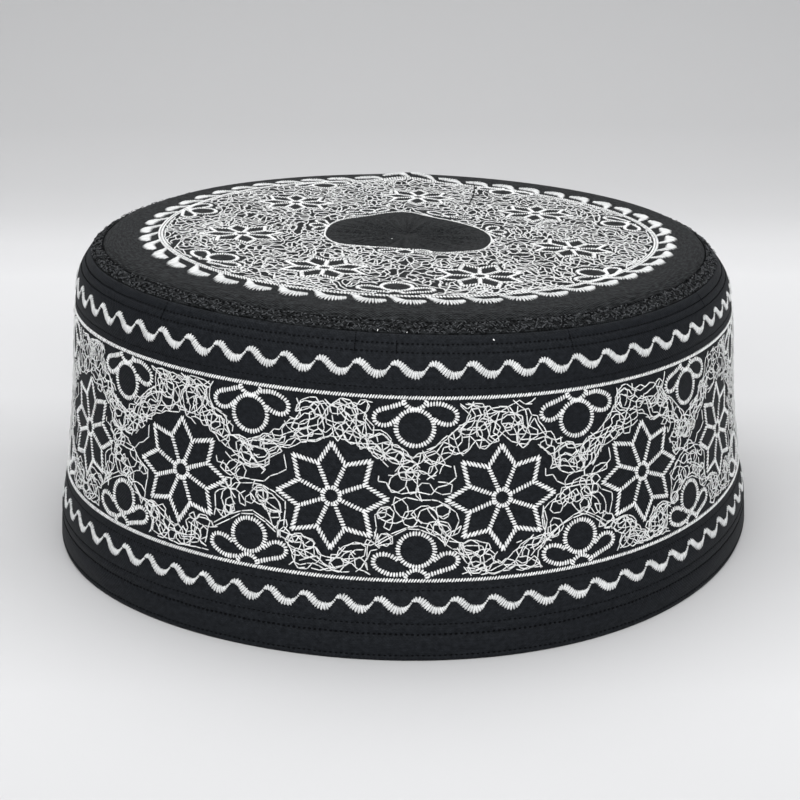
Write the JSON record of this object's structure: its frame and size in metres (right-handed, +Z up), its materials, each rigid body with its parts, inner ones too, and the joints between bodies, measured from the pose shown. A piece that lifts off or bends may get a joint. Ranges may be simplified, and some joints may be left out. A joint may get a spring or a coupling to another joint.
{
  "type": "kufi prayer cap",
  "caption": "Stiff round pillbox cap of black cloth with a rounded shoulder and a flat gathered crown, for embroidery in silver thread.",
  "frame": {"origin": "middle of the hem's bounding box, on the surface that the hem rests on", "axes": "+Z up out of the crown, -Y towards the front of the cap, +X to the right seen from the front"},
  "size_m": [0.1904, 0.19, 0.0808],
  "materials": {
    "black_band_cloth": "closely woven black cotton, stiffened and quilted, matt",
    "black_crown_cloth": "closely woven black cotton with a slight sheen, gathered at the middle",
    "silver_thread": "twisted silver-white embroidery thread with a soft satin sheen"
  },
  "bodies": {
    "root": {"side_band": "black_band_cloth", "crown_top": "black_crown_cloth"}
  },
  "joints": []
}
